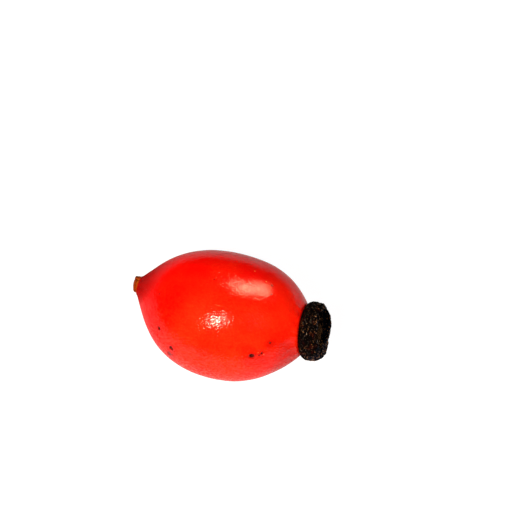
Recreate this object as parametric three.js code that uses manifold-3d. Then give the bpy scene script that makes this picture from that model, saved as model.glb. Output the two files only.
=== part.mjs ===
// A rose hip: the ripe fruit of a rose, picked and lying on its side.
//
// The fleshy hip is a rounded solid, fullest just past its middle. At one end a scrap of the dried
// stalk sits on a short neck. At the other end is the dried flower: a shallow cup, five sepal stubs
// that stand on its rim and fold in over it, the ring of withered stamens, and the knob of styles.
//
// Units are millimetres, with +Z up. +X runs from the stalk to the dried flower. The origin is on the
// surface that the hip rests on, under the middle of the hip's box.

import * as THREE from "three";
import { mergeVertices } from "three/addons/utils/BufferGeometryUtils.js";
import Module from "manifold-3d";

const wasm = await Module();
wasm.setup();

// ---- Driving dimensions ----

const { clamp, degToRad: degrees, smoothstep } = THREE.MathUtils;

const SEAM = 0.05; // gap between pieces that sit on each other
const RAISED = degrees(3); // how far the flower end is raised as the hip lies

const FLESH = { radius: 8.7, fullestAt: 13.15, end: 24.85, endRadius: 2.2 };
const BELLY = { radius: 4.9, at: 3.2, reach: 7.5 }; // the handles of the outline up to its fullest place
const SHOULDER = { radius: 7.6, fromEnd: 3.5, reach: 4.3 }; // and of the outline from there to the end
const NECK = { radius: 1.08, flare: 1.55, length: 0.6, overrun: 0.3 };
const BOW = { height: 0.88, early: 0.74 }; // how far the middle line bows to one side, mostly near the stalk
const LEAN = { from: 20.8, slope: 0.03 }; // how the flower end leans over to the other side
const RESTING_DEPTH = 0.15; // how deep the skin is flattened where the hip lies
const RIDGES = { count: 5, height: 0.007 }; // faint ridges, one below each sepal
const OVAL = { lobes: 2, height: 0.004, phase: 0.7 }; // the hip isn't quite round

const STALK = { radius: 1.04, length: 0.45, turned: degrees(10) }; // turned sideways on the neck

const FLOWER = {
  seat: new THREE.Vector3(24.1, 0.45, 0.1), // the middle of the dried flower's seat on the hip
  turned: degrees(6), // sideways
  tipped: degrees(9), // upwards
};
const CUP = { radius: 3.87, floor: 0.75, rim: 1.4 };
const STAMENS = { inner: 1.4, outer: 2.3, top: 2, teeth: 11, toothHeight: 0.12 };
const STYLES = { radius: 1.1, top: 2.3 };
const SEPALS = { start: degrees(28), apart: degrees(72), halfWidth: degrees(34.5), thickness: 0.36 };
const SEPAL_FORM = { taper: 0.35, bulge: 0.1 }; // how each thins and narrows to its tip, and arches
const SEPAL_FOLD = { standing: 2.3, turning: 2.8, tip: new THREE.Vector2(1.5, 2.25) }; // where it bends and ends
const SEPAL_REACHES = [0.72, 0.85, 1, 0.96, 0.8]; // how much of each dried sepal is left

// ---- Colours and finishes ----

const finish = (color, roughness) => new THREE.MeshStandardMaterial({ color, roughness, metalness: 0 });
const FINISHES = {
  skin: finish(0xe4150a, 0.25),
  stalk: finish(0x8a4a17, 0.8),
  calyx: finish(0x17100c, 0.55),
  stamens: finish(0x3a2414, 0.8),
};

// ---- Helpers ----

// Moves every vertex of a geometry by a function that changes the point it is given.
function reshape(geometry, change) {
  const places = geometry.getAttribute("position");
  const point = new THREE.Vector3();
  for (let i = 0; i < places.count; i++) {
    change(point.fromBufferAttribute(places, i));
    places.setXYZ(i, point.x, point.y, point.z);
  }
  return geometry;
}

// A body turned about the X axis from a path whose x is the radius and whose y is the place on X.
// swell gives the share by which the radius grows at an angle and a place.
function turned(path, { steps, around, swell = () => 0 }) {
  const geometry = new THREE.LatheGeometry(path.getPoints(steps), around).rotateZ(-Math.PI / 2);
  return reshape(geometry, (p) => {
    const grown = 1 + swell(Math.atan2(p.z, p.y), p.x);
    p.y *= grown;
    p.z *= grown;
  });
}

function toSolid(geometry) {
  const bare = new THREE.BufferGeometry().setAttribute("position", geometry.getAttribute("position"));
  const merged = mergeVertices(bare.setIndex(geometry.index), 1e-3);
  const mesh = new wasm.Mesh({
    numProp: 3,
    vertProperties: merged.attributes.position.array,
    triVerts: new Uint32Array(merged.index.array),
  });
  return new wasm.Manifold(mesh);
}

function toGeometry(solid) {
  const mesh = solid.getMesh();
  const geometry = new THREE.BufferGeometry();
  geometry.setAttribute("position", new THREE.BufferAttribute(mesh.vertProperties, 3));
  geometry.setIndex(new THREE.BufferAttribute(mesh.triVerts, 1));
  geometry.computeVertexNormals();
  return geometry;
}

function piece(name, geometry, material) {
  const mesh = new THREE.Mesh(geometry, material);
  mesh.name = name;
  return mesh;
}

// ---- The fleshy hip ----

// Half of the hip's side outline. It runs past the stalk's seat and the flower's, where it is cut.
function fleshOutline() {
  const { radius, fullestAt, end, endRadius } = FLESH;
  const outline = new THREE.Path();
  outline.moveTo(0, -NECK.overrun);
  outline.lineTo(NECK.radius, -NECK.overrun);
  outline.quadraticCurveTo(NECK.radius, NECK.length / 2, NECK.flare, NECK.length);
  outline.bezierCurveTo(BELLY.radius, BELLY.at, radius, fullestAt - BELLY.reach, radius, fullestAt);
  const shoulderAt = end - SHOULDER.fromEnd;
  outline.bezierCurveTo(radius, fullestAt + SHOULDER.reach, SHOULDER.radius, shoulderAt, endRadius, end);
  outline.lineTo(0, end);
  return outline;
}

// Bows the middle line towards -Y, and leans the flower end over towards +Y.
function bend(p) {
  const along = clamp(p.x / FLESH.end, 0, 1);
  p.x -= LEAN.slope * p.y * smoothstep(p.x, LEAN.from, FLESH.end);
  p.y -= BOW.height * Math.sin(Math.PI * along ** BOW.early);
}

function flesh() {
  const ridges = (angle) => RIDGES.height * Math.cos(RIDGES.count * (angle - SEPALS.start));
  const oval = (angle) => OVAL.height * Math.cos(OVAL.lobes * angle + OVAL.phase);
  const shape = turned(fleshOutline(), {
    steps: 17,
    around: 56,
    swell: (angle, x) => oval(angle) + smoothstep(x, 0, FLESH.end) * ridges(angle),
  });
  reshape(shape, bend);

  const up = new THREE.Vector3(Math.sin(RAISED), 0, Math.cos(RAISED));
  let lowest = Infinity;
  reshape(shape, (p) => {
    lowest = Math.min(lowest, p.dot(up));
  });
  const fromStalk = new THREE.Vector3(1, 0, 0).applyEuler(stalkTurn());
  const fromFlower = new THREE.Vector3(-1, 0, 0).applyEuler(flowerTurn());
  const cut = toSolid(shape)
    .trimByPlane(fromStalk.toArray(), 0)
    .trimByPlane(fromFlower.toArray(), fromFlower.dot(FLOWER.seat))
    .trimByPlane(up.toArray(), lowest + RESTING_DEPTH);
  return piece("flesh", toGeometry(cut), FINISHES.skin);
}

// ---- The stalk scrap: a thin disc with a rounded rim, dished where the stalk broke away ----

const stalkTurn = () => new THREE.Euler(0, 0, STALK.turned);

function stalkScrap() {
  const { radius, length } = STALK;
  const outline = new THREE.Path();
  outline.moveTo(0, -length * 0.7);
  outline.lineTo(radius * 0.5, -length * 0.72);
  outline.quadraticCurveTo(radius * 0.7, -length, radius * 0.9, -length * 0.92);
  outline.quadraticCurveTo(radius * 1.12, -length * 0.7, radius, -SEAM);
  outline.lineTo(0, -SEAM);
  const shape = turned(outline, {
    steps: 4,
    around: 24,
    swell: (angle) => 0.04 * Math.cos(3 * angle + 1),
  });
  const scrap = piece("stalk_scrap", shape, FINISHES.stalk);
  scrap.rotation.copy(stalkTurn());
  return scrap;
}

// ---- The dried flower, in its own frame: X out of its face, the seat at 0 ----

const flowerTurn = () => new THREE.Euler(0, -FLOWER.tipped, FLOWER.turned, "ZYX");

function calyxCup() {
  const { radius, floor, rim } = CUP;
  const outline = new THREE.Path();
  outline.moveTo(0, SEAM);
  outline.lineTo(radius * 0.88, SEAM);
  outline.bezierCurveTo(radius * 0.98, 0.1, radius * 1.01, rim * 0.45, radius, rim * 0.9);
  outline.quadraticCurveTo(radius * 0.99, rim, radius * 0.96, rim);
  outline.lineTo(radius * 0.84, rim);
  outline.quadraticCurveTo(radius * 0.72, floor, radius * 0.6, floor);
  outline.lineTo(0, floor);
  const shape = turned(outline, {
    steps: 5,
    around: 50,
    swell: (angle) => 0.012 * Math.cos(5 * (angle - SEPALS.start)) + 0.006 * Math.cos(13 * angle),
  });
  return piece("calyx_cup", shape, FINISHES.calyx);
}

function stamenRing() {
  const { inner, outer, top, teeth, toothHeight } = STAMENS;
  const base = CUP.floor + SEAM;
  const outline = new THREE.Path();
  outline.moveTo(inner, base);
  outline.lineTo(outer * 0.94, base);
  outline.quadraticCurveTo(outer * 1.03, base + 0.5, outer * 0.94, top * 0.96);
  outline.quadraticCurveTo((inner + outer) / 2, top * 1.02, inner * 1.12, top * 0.9);
  outline.lineTo(inner, base);
  const shape = turned(outline, { steps: 4, around: 44 });
  reshape(shape, (p) => {
    const angle = Math.atan2(p.z, p.y);
    const height = (p.x - base) / (top - base);
    p.x += toothHeight * height * Math.cos(teeth * angle);
  });
  return piece("stamen_ring", shape, FINISHES.stamens);
}

function styleKnob() {
  const { radius, top } = STYLES;
  const base = CUP.floor + SEAM;
  const outline = new THREE.Path();
  outline.moveTo(0, base);
  outline.lineTo(radius * 0.7, base);
  outline.quadraticCurveTo(radius * 0.62, base + 0.5, radius * 0.95, base + 0.8);
  outline.quadraticCurveTo(radius * 1.08, top * 0.86, radius * 0.6, top * 0.97);
  outline.quadraticCurveTo(radius * 0.3, top, 0, top);
  return piece("style_knob", turned(outline, { steps: 5, around: 24 }), FINISHES.stamens);
}

// One sepal stub: a leathery strip that stands on the cup's rim and folds in over the cup.
// The strip starts as a flat box, u across from -1 to 1, v along from 0 to 1, w through from -1 to 1.
// The fold is its middle line, with the distance from the cup's middle first and the height second.
function sepalStub(index) {
  const { start, apart, halfWidth, thickness } = SEPALS;
  const { taper, bulge } = SEPAL_FORM;
  const fold = new THREE.CubicBezierCurve(
    new THREE.Vector2(CUP.radius * 0.93, CUP.rim + SEAM),
    new THREE.Vector2(CUP.radius * 0.99, SEPAL_FOLD.standing),
    new THREE.Vector2(CUP.radius * 0.86, SEPAL_FOLD.turning),
    SEPAL_FOLD.tip,
  );
  const middle = start + index * apart;
  const strip = new THREE.BoxGeometry(2, 1, 2, 6, 8, 1);
  reshape(strip, (p) => {
    const [u, v, w] = [p.x, (p.y + 0.5) * SEPAL_REACHES[index], p.z];
    const place = fold.getPoint(v);
    const along = fold.getTangent(v);
    const half = (thickness / 2) * (1 - taper * v) * w;
    const arch = bulge * (1 - u * u) * Math.sin(Math.PI * v);
    const angle = middle + u * halfWidth * (1 - taper * v ** 3);
    const radius = place.x + half * along.y;
    p.set(place.y - half * along.x + arch, radius * Math.cos(angle), radius * Math.sin(angle));
  });
  return piece(`sepal_stub_${index + 1}`, strip, FINISHES.calyx);
}

function driedFlower() {
  const flower = new THREE.Group();
  flower.add(calyxCup(), stamenRing(), styleKnob());
  SEPAL_REACHES.forEach((_, index) => flower.add(sepalStub(index)));
  flower.position.copy(FLOWER.seat);
  flower.rotation.copy(flowerTurn());
  return flower;
}

// ---- The whole hip, laid down ----

const hip = new THREE.Group();
hip.add(flesh(), stalkScrap(), driedFlower());
hip.rotation.y = -RAISED;

const part = new THREE.Group();
part.add(hip);
part.updateMatrixWorld(true);
const box = new THREE.Box3().setFromObject(part, true);
const middle = box.getCenter(new THREE.Vector3());
hip.position.set(-middle.x, -middle.y, -box.min.z);

export default part;
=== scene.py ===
"""A ripe rose hip, picked and lying on its side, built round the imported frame.

Two frames are used besides the row's own. The hip's frame is in millimetres, with X running along the
fruit from the stalk to the dried flower and Z up through the fruit. The flower's frame is in millimetres
too, with X pointing out of the dried flower's face and its seat on the fruit at 0.
"""

import logging
import math
import random
from collections.abc import Callable, Iterable, Sequence
from dataclasses import dataclass
from enum import Enum
from functools import partial
from typing import Any

import bmesh
import bpy
from mathutils import Matrix, Quaternion, Vector, noise
from mathutils.geometry import interpolate_bezier
from mathutils.kdtree import KDTree

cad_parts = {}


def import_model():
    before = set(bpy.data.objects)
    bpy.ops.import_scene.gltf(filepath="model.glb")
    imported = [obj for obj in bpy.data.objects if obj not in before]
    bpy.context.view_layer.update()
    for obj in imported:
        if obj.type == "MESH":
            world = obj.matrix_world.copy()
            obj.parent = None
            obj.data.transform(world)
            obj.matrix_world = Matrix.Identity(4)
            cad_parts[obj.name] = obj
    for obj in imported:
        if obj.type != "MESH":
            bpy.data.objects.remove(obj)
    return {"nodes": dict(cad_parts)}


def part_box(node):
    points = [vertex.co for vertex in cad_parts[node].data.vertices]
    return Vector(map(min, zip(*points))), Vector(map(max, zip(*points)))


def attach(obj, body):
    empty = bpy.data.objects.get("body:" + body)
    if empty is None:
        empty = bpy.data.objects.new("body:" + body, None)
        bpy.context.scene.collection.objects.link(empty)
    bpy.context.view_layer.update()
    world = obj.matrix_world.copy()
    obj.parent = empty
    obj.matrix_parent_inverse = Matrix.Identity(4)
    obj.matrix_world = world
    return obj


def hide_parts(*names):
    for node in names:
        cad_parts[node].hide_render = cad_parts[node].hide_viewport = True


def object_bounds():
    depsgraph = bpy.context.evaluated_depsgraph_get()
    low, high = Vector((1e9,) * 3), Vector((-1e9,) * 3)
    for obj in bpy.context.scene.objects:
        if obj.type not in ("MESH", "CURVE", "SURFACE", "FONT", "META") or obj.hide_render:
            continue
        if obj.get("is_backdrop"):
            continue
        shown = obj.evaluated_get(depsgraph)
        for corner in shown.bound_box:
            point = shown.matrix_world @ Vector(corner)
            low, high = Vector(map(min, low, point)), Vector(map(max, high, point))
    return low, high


log = logging.getLogger("rose_hip")

MM = 0.001  # metres in a millimetre
SAME_SPOT = 1e-5  # mm: points this close are one


# ---- Small helpers ----


def linear(colour: str) -> tuple[float, float, float, float]:
    """Turns an sRGB colour such as "#e4150a" into linear red, green, blue and an alpha of 1.

    Args:
        colour: six hex digits after a hash.

    Returns:
        The linear colour with its alpha.
    """
    shares = [int(colour[i : i + 2], 16) / 255 for i in (1, 3, 5)]
    red, green, blue = [c / 12.92 if c <= 0.04045 else ((c + 0.055) / 1.055) ** 2.4 for c in shares]
    return red, green, blue, 1.0


def rise(value: float, low: float, high: float) -> float:
    """Goes smoothly from 0 at low to 1 at high.

    Args:
        value: where to read the curve.
        low: where it leaves 0.
        high: where it reaches 1.

    Returns:
        A share from 0 to 1.
    """
    share = min(max((value - low) / (high - low), 0.0), 1.0)
    return share * share * (3 - 2 * share)


def curve(handles: Sequence[tuple[float, float]], count: int) -> list[Vector]:
    """Points along one cubic Bezier curve in a plane.

    Args:
        handles: the start, its handle, the end's handle, and the end.
        count: how many points.

    Returns:
        The points, as vectors with a Z of 0.
    """
    start, out, back, end = (Vector((*handle, 0)) for handle in handles)
    return [Vector(point) for point in interpolate_bezier(start, out, back, end, count)]


def bank(points: Sequence[Vector], share: float) -> tuple[Vector, Vector]:
    """The place on a line of points at a share of it, and the direction that the line runs there.

    Args:
        points: the line.
        share: from 0 at its start to 1 at its end.

    Returns:
        The place, and the direction with a length of 1.
    """
    along = min(max(share, 0.0), 1.0) * (len(points) - 1)
    first = min(int(along), len(points) - 2)
    step = points[first + 1] - points[first]
    return points[first] + step * (along - first), step.normalized()


def add_node(
    tree: bpy.types.NodeTree,
    kind: str,
    settings: dict[str, Any] | None = None,
    sockets: dict[str | int, Any] | None = None,
    stops: Sequence[tuple[float, str]] = (),
) -> bpy.types.Node:
    """Adds one node to a material or world, with its settings, its links and a colour ramp's stops.

    Args:
        tree: where the node goes.
        kind: Blender's name for the node.
        settings: the node's own properties.
        sockets: each input's value, or the output that feeds it.
        stops: a colour ramp's places and sRGB colours.

    Returns:
        The node.
    """
    node = tree.nodes.new(kind)
    for name, value in (settings or {}).items():
        setattr(node, name, value)
    for key, value in (sockets or {}).items():
        if isinstance(value, bpy.types.NodeSocket):
            tree.links.new(value, node.inputs[key])
        else:
            node.inputs[key].default_value = value
    for index, (place, colour) in enumerate(stops):
        ramp = node.color_ramp.elements
        stop = ramp[index] if index < 2 else ramp.new(place)
        stop.position = place
        stop.color = linear(colour)
    return node


def join(*curves: Sequence[Vector]) -> list[tuple[float, float]]:
    """Joins curves that meet end to end into one outline: places along X, each with its radius.

    Args:
        curves: each starts where the one before it ends.

    Returns:
        The outline.
    """
    first, *others = curves
    points = [*first, *(point for other in others for point in other[1:])]
    return [(point.x, point.y) for point in points]


def spoke(x: float, radius: float, angle: float) -> Vector:
    """The point at a place along X, at a radius and an angle round it, from +Y towards +Z."""
    return Vector((x, radius * math.cos(angle), radius * math.sin(angle)))


def vertex_tree(bm: bmesh.types.BMesh) -> KDTree:
    """Makes a tree that finds a mesh's vertices by place, and lets them be read by number.

    Args:
        bm: the mesh.

    Returns:
        The tree.
    """
    tree = KDTree(len(bm.verts))
    for index, vert in enumerate(bm.verts):
        tree.insert(vert.co, index)
    tree.balance()
    bm.verts.ensure_lookup_table()
    return tree


def add_object(name: str, data: bpy.types.ID) -> bpy.types.Object:
    """Puts an object with its mesh, light or camera into the scene.

    Args:
        name: the object's name.
        data: its mesh, light or camera.

    Returns:
        The object.
    """
    made = bpy.data.objects.new(name, data)
    bpy.context.scene.collection.objects.link(made)
    return made


def add_mesh(bm: bmesh.types.BMesh, name: str, material: bpy.types.Material) -> bpy.types.Object:
    """Turns a bmesh, which is used up, into an object with one material.

    Args:
        bm: the mesh, which is used up.
        name: the object's name.
        material: what it wears.

    Returns:
        The object.
    """
    mesh = bpy.data.meshes.new(name)
    bm.to_mesh(mesh)
    bm.free()
    mesh.materials.append(material)
    return add_object(name, mesh)


def turn_solid(bm: bmesh.types.BMesh, outline: Iterable[tuple[float, float]], around: int) -> None:
    """Turns a side outline about the X axis into a closed solid.

    Args:
        bm: where the solid is made.
        outline: places along X, each with its radius, from one end to the other.
        around: how many steps the turn takes.
    """
    line = [bm.verts.new((x, max(radius, 0.0), 0)) for x, radius in outline]
    edges = [bm.edges.new(pair) for pair in zip(line, line[1:])]
    whole_turn = {"cent": (0, 0, 0), "axis": (1, 0, 0), "angle": math.tau}
    bmesh.ops.spin(bm, geom=[*line, *edges], steps=around, use_merge=True, **whole_turn)
    bmesh.ops.remove_doubles(bm, verts=bm.verts[:], dist=SAME_SPOT)
    bmesh.ops.recalc_face_normals(bm, faces=bm.faces[:])


def draw_tube(bm: bmesh.types.BMesh, path: Sequence[Vector], radii: Sequence[float], sides: int) -> None:
    """Draws a closed tube along a path: a ring that is extruded from point to point.

    Args:
        bm: where the tube is made.
        path: the points that it follows.
        radii: its radius at each point.
        sides: how many sides it has.
    """
    side = (path[-1] - path[0]).orthogonal().normalized()
    ring = bmesh.ops.create_circle(bm, cap_ends=True, segments=sides, radius=1)["verts"]
    rings = [ring]
    edges = [edge for edge in ring[0].link_faces[0].edges]
    for _ in path[1:]:
        made = bmesh.ops.extrude_edge_only(bm, edges=edges)["geom"]
        rings.append([item for item in made if isinstance(item, bmesh.types.BMVert)])
        edges = [item for item in made if isinstance(item, bmesh.types.BMEdge) and item.is_boundary]
    corners = [math.atan2(vert.co.y, vert.co.x) for vert in ring]
    for index, (point, radius, verts) in enumerate(zip(path, radii, rings)):
        ahead = path[min(index + 1, len(path) - 1)] - path[max(index - 1, 0)]
        across = (side - side.project(ahead)).normalized()
        up = ahead.normalized().cross(across)
        for corner, vert in zip(corners, verts):
            vert.co = point + radius * (math.cos(corner) * across + math.sin(corner) * up)
    bmesh.ops.contextual_create(bm, geom=edges)


def paint(
    bm: bmesh.types.BMesh, name: str, value_at: Callable[[bmesh.types.BMVert], Sequence[float]]
) -> None:
    """Stores three shares at each vertex, which a material reads by name.

    Args:
        bm: the mesh.
        name: the attribute's name.
        value_at: gives the three shares at a vertex.
    """
    layer = bm.verts.layers.float_color.get(name) or bm.verts.layers.float_color.new(name)
    for vert in bm.verts:
        vert[layer] = (*value_at(vert), 1.0)


def make_piece(
    bm: bmesh.types.BMesh,
    name: str,
    nodes: Sequence[str],
    finish: "Finish",
    place: Matrix,
    sharp_from: float = math.radians(50),
) -> bpy.types.Object:
    """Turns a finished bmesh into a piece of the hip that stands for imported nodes.

    Args:
        bm: the mesh, which is used up.
        name: the piece's name.
        nodes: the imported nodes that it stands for.
        finish: what it is dressed in.
        place: takes the bmesh's frame to the row's frame.
        sharp_from: edges that turn by more than this are kept crisp.

    Returns:
        The piece.
    """
    bmesh.ops.transform(bm, matrix=place, verts=bm.verts[:])
    bmesh.ops.recalc_face_normals(bm, faces=bm.faces[:])
    if bm.calc_volume(signed=True) < 0:
        bmesh.ops.reverse_faces(bm, faces=bm.faces[:])
    for face in bm.faces:
        face.smooth = True
    for edge in bm.edges:
        edge.smooth = not edge.is_manifold or edge.calc_face_angle() < sharp_from
    piece = add_mesh(bm, name, finish.material())
    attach(piece, "root")
    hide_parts(*nodes)
    log.info("%s: %d faces, for %s", name, len(piece.data.polygons), ", ".join(nodes))
    return piece


# ---- Finishes ----

SMOOTH = {"interpolation_type": "SMOOTHSTEP"}
COLOURS = {"data_type": "RGBA"}
TIMES = {"operation": "MULTIPLY"}
LARGER = {"operation": "MAXIMUM"}


@dataclass(frozen=True)
class Fade:
    """A change from a first amount at one place on a scale to a last amount at another."""

    start: float
    stop: float
    first: float = 0.0
    last: float = 1.0

    def of(self, value: bpy.types.NodeSocket) -> dict[str, Any]:
        """The inputs of a node that makes this change in a value."""
        ends = {"From Min": self.start, "From Max": self.stop, "To Min": self.first, "To Max": self.last}
        return {"Value": value, **ends}


@dataclass(frozen=True)
class Finish:
    """A finish that is made once and shared by the pieces that wear it."""

    name: str

    def material(self) -> bpy.types.Material:
        """Gives the material, and makes it the first time.

        Returns:
            The material.
        """
        found = bpy.data.materials.get(self.name)
        if found:
            return found
        material = bpy.data.materials.new(self.name)
        material.use_nodes = True
        material.node_tree.nodes.clear()
        shader = self.dress(material.node_tree)
        output = add_node(material.node_tree, "ShaderNodeOutputMaterial")
        material.node_tree.links.new(shader, output.inputs["Surface"])
        return material

    def dress(self, tree: bpy.types.NodeTree) -> bpy.types.NodeSocket:
        """Builds the nodes and gives the output that makes the surface.

        Args:
            tree: the material's nodes.

        Returns:
            The output that makes the surface.
        """
        raise NotImplementedError

    @staticmethod
    def in_mm(tree: bpy.types.NodeTree, place: Matrix | None = None) -> bpy.types.NodeSocket:
        """Object coordinates in millimetres, in the row's frame or in a piece's own.

        Args:
            tree: the material's nodes.
            place: takes the piece's own frame, in millimetres, to the row's.

        Returns:
            The output that holds the coordinates.
        """
        coordinates = add_node(tree, "ShaderNodeTexCoord").outputs["Object"]
        back = (place or Matrix.Scale(MM, 4)).inverted()
        settings = {
            "Location": back.to_translation(),
            "Rotation": back.to_euler(),
            "Scale": back.to_scale(),
        }
        return add_node(tree, "ShaderNodeMapping", {}, {"Vector": coordinates, **settings}).outputs[0]

    @staticmethod
    def tint(
        tree: bpy.types.NodeTree, colour: Any, layers: Iterable[tuple[Any, str]]
    ) -> bpy.types.NodeSocket:
        """Lays tints over a colour, one after another.

        Args:
            tree: the material's nodes.
            colour: the linear colour underneath, or the output that gives it.
            layers: how much of each tint there is, and its sRGB colour.

        Returns:
            The output that gives the tinted colour.
        """
        for share, shade in layers:
            mixed = add_node(tree, "ShaderNodeMix", COLOURS, {0: share, 6: colour, 7: linear(shade)})
            colour = mixed.outputs[2]
        return colour


@dataclass(frozen=True)
class RipeSkin(Finish):
    """The ripe fruit's skin: a thin, waxy, glossy film over scarlet flesh.

    The wax gives a sharp coat. The skin's cells stand up in tiny pebbles, which break each highlight
    into grains. The colour runs from orange-red, where the fruit is fullest, to dark crimson on the neck.
    The orange-red is partly the fruit's own patches and flecks and partly a painted glow of the key
    lamp's light on the side that faces it. The crimson is partly the fruit's own tone and partly painted
    shade: a painted shadow of a neighbouring hip over the neck, and painted shade in the joint with the
    dried flower and on the front flank near it.
    """

    place: Matrix
    scarlet: str = "#e20301"
    orange: str = "#f02a0b"
    crimson: str = "#8c0301"
    dried: str = "#35120d"
    halo: str = "#a30502"
    pale: str = "#ff9a5c"
    # The pale of a scratch and of pale dots; beside the pits these dots are painted glints.
    cork: str = "#8f3f09"
    patch: float = 6.25  # mm across a broad patch of orange
    fleck: float = 0.35  # mm across a small fleck of it
    pebble: float = 0.2  # mm across one pebble
    pebble_turn: tuple[float, float, float] = (0.7, 0.5, 0.3)  # so that no row of pebbles follows the skin
    pebble_stretch: float = 1.4  # how much longer a pebble is along the fruit
    pebble_height: float = 0.03  # mm
    bloom: float = 0.26  # mm across one cell's film of wax
    wave: float = 1.3  # mm across one of the skin's slow waves
    wave_height: float = 0.011  # mm
    flesh_depth: float = 0.9  # mm that light goes into the flesh
    # Changes over millimetres across the fruit.
    flank: Fade = Fade(-1.6, -4.2)  # where the flank begins that has more wax
    # The side that faces the key lamp, where its light is painted in as an orange glow.
    key_lit_side: Fade = Fade(4.5, -3.0, 0.15, 1.0)
    # Changes over millimetres along the fruit, from the stalk.
    # A painted glow of the key lamp's light, strongest over the fullest part of the fruit.
    key_lit_glow: Fade = Fade(3.5, 12.5, 0.0, 0.64)
    # Crimson on the neck: partly the fruit's own tone, partly a painted shadow of a neighbouring hip.
    neck: Fade = Fade(0.6, 6.2, 0.95, 0.0)
    # Crimson where the fruit meets the dried flower: partly its own tone, partly painted shade in the
    # joint.
    crown: Fade = Fade(23.3, 24.7, 0.0, 0.8)
    # Crimson on the front flank near the flower: painted shade.
    painted_shoulder_shade: Fade = Fade(18.5, 23.5, 0.0, 0.6)
    corky: Fade = Fade(0.18, 0.42, 0.9, 0.0)
    wax: Fade = Fade(1.0, 9.0, 0.04, 0.38)
    # Changes over the noise that makes the pattern.
    patched: Fade = Fade(0.34, 0.68, -0.2, 0.14)
    flecked: Fade = Fade(0.35, 0.75, -0.18, 0.16)
    grained: Fade = Fade(0.36, 0.64, 0.0, 0.12)
    filmed: Fade = Fade(0.36, 0.64, 0.4, 1.25)
    dulled: Fade = Fade(0.0, 1.0, 0.3, 0.75)  # the roughness, from fresh to dried skin
    flank_wax: float = 0.27
    # The front flank keeps less of the neck's crimson, so the painted shadow lies on the neck's far side.
    neck_cleared: float = -0.6  # how much of the neck's crimson the flank loses

    def dress(self, tree: bpy.types.NodeTree) -> bpy.types.NodeSocket:
        """Builds the skin's nodes and gives its shader.

        Args:
            tree: the material's nodes.

        Returns:
            The output that makes the surface.
        """
        add = partial(add_node, tree)
        point = self.in_mm(tree, self.place)
        marks = add("ShaderNodeAttribute", {"attribute_name": Fruit.MARKS}).outputs["Color"]
        mark = add("ShaderNodeSeparateColor", {}, {"Color": marks}).outputs
        along, across, _ = add("ShaderNodeSeparateXYZ", {}, {"Vector": point}).outputs
        turns = {"Rotation": self.pebble_turn, "Scale": (1 / self.pebble_stretch, 1, 1)}
        turned = add("ShaderNodeMapping", {}, {"Vector": point, **turns}).outputs[0]
        patches, flecks, cells, waves, pebbles = (
            add(
                "ShaderNodeTexNoise",
                {},
                {"Vector": where, "Scale": 1 / size, "Detail": detail, "Roughness": rough},
            ).outputs["Fac"]
            for where, size, detail, rough in (
                (point, self.patch, 2.0, 0.5),
                (point, self.fleck, 3.0, 0.6),
                (turned, self.bloom, 1.0, 0.5),
                (point, self.wave, 1.0, 0.5),
                (turned, self.pebble, 0.0, 0.5),
            )
        )
        flank, key_lit_side, key_lit_glow, neck, crown, painted_shoulder_shade, corky, wax, patched = (
            add("ShaderNodeMapRange", SMOOTH, fade.of(value)).outputs[0]
            for fade, value in (
                (self.flank, across),
                (self.key_lit_side, across),
                (self.key_lit_glow, along),
                (self.neck, along),
                (self.crown, along),
                (self.painted_shoulder_shade, along),
                (self.corky, along),
                (self.wax, along),
                (self.patched, patches),
            )
        )
        flecked, grained, filmed, roughness = (
            add("ShaderNodeMapRange", {}, fade.of(value)).outputs[0]
            for fade, value in (
                (self.flecked, flecks),
                (self.grained, cells),
                (self.filmed, cells),
                (self.dulled, mark["Red"]),
            )
        )
        # Painted glow of the key lamp's light on the side that faces it, added to the fruit's own patches
        # and flecks.
        key_lit_glow = add("ShaderNodeMath", TIMES, {0: key_lit_glow, 1: key_lit_side}).outputs[0]
        plus = {"operation": "ADD"}
        varied = add("ShaderNodeMath", plus, {0: patched, 1: flecked}).outputs[0]
        tone_and_lit_glow = add("ShaderNodeMath", {**plus, "use_clamp": True}, {0: varied, 1: key_lit_glow}).outputs[0]
        # The neck's crimson, partly a painted shadow, is kept off the front flank.
        open_neck = add(
            "ShaderNodeMath", {"operation": "MULTIPLY_ADD"}, {0: flank, 1: self.neck_cleared, 2: 1.0}
        ).outputs[0]
        neck = add("ShaderNodeMath", TIMES, {0: neck, 1: open_neck}).outputs[0]
        # Painted shade on the front flank near the flower, joined with the crimson of the joint and the
        # neck.
        painted_shoulder_shade = add("ShaderNodeMath", TIMES, {0: painted_shoulder_shade, 1: flank}).outputs[0]
        crown = add("ShaderNodeMath", LARGER, {0: crown, 1: painted_shoulder_shade}).outputs[0]
        ends = add("ShaderNodeMath", LARGER, {0: neck, 1: crown}).outputs[0]
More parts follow.
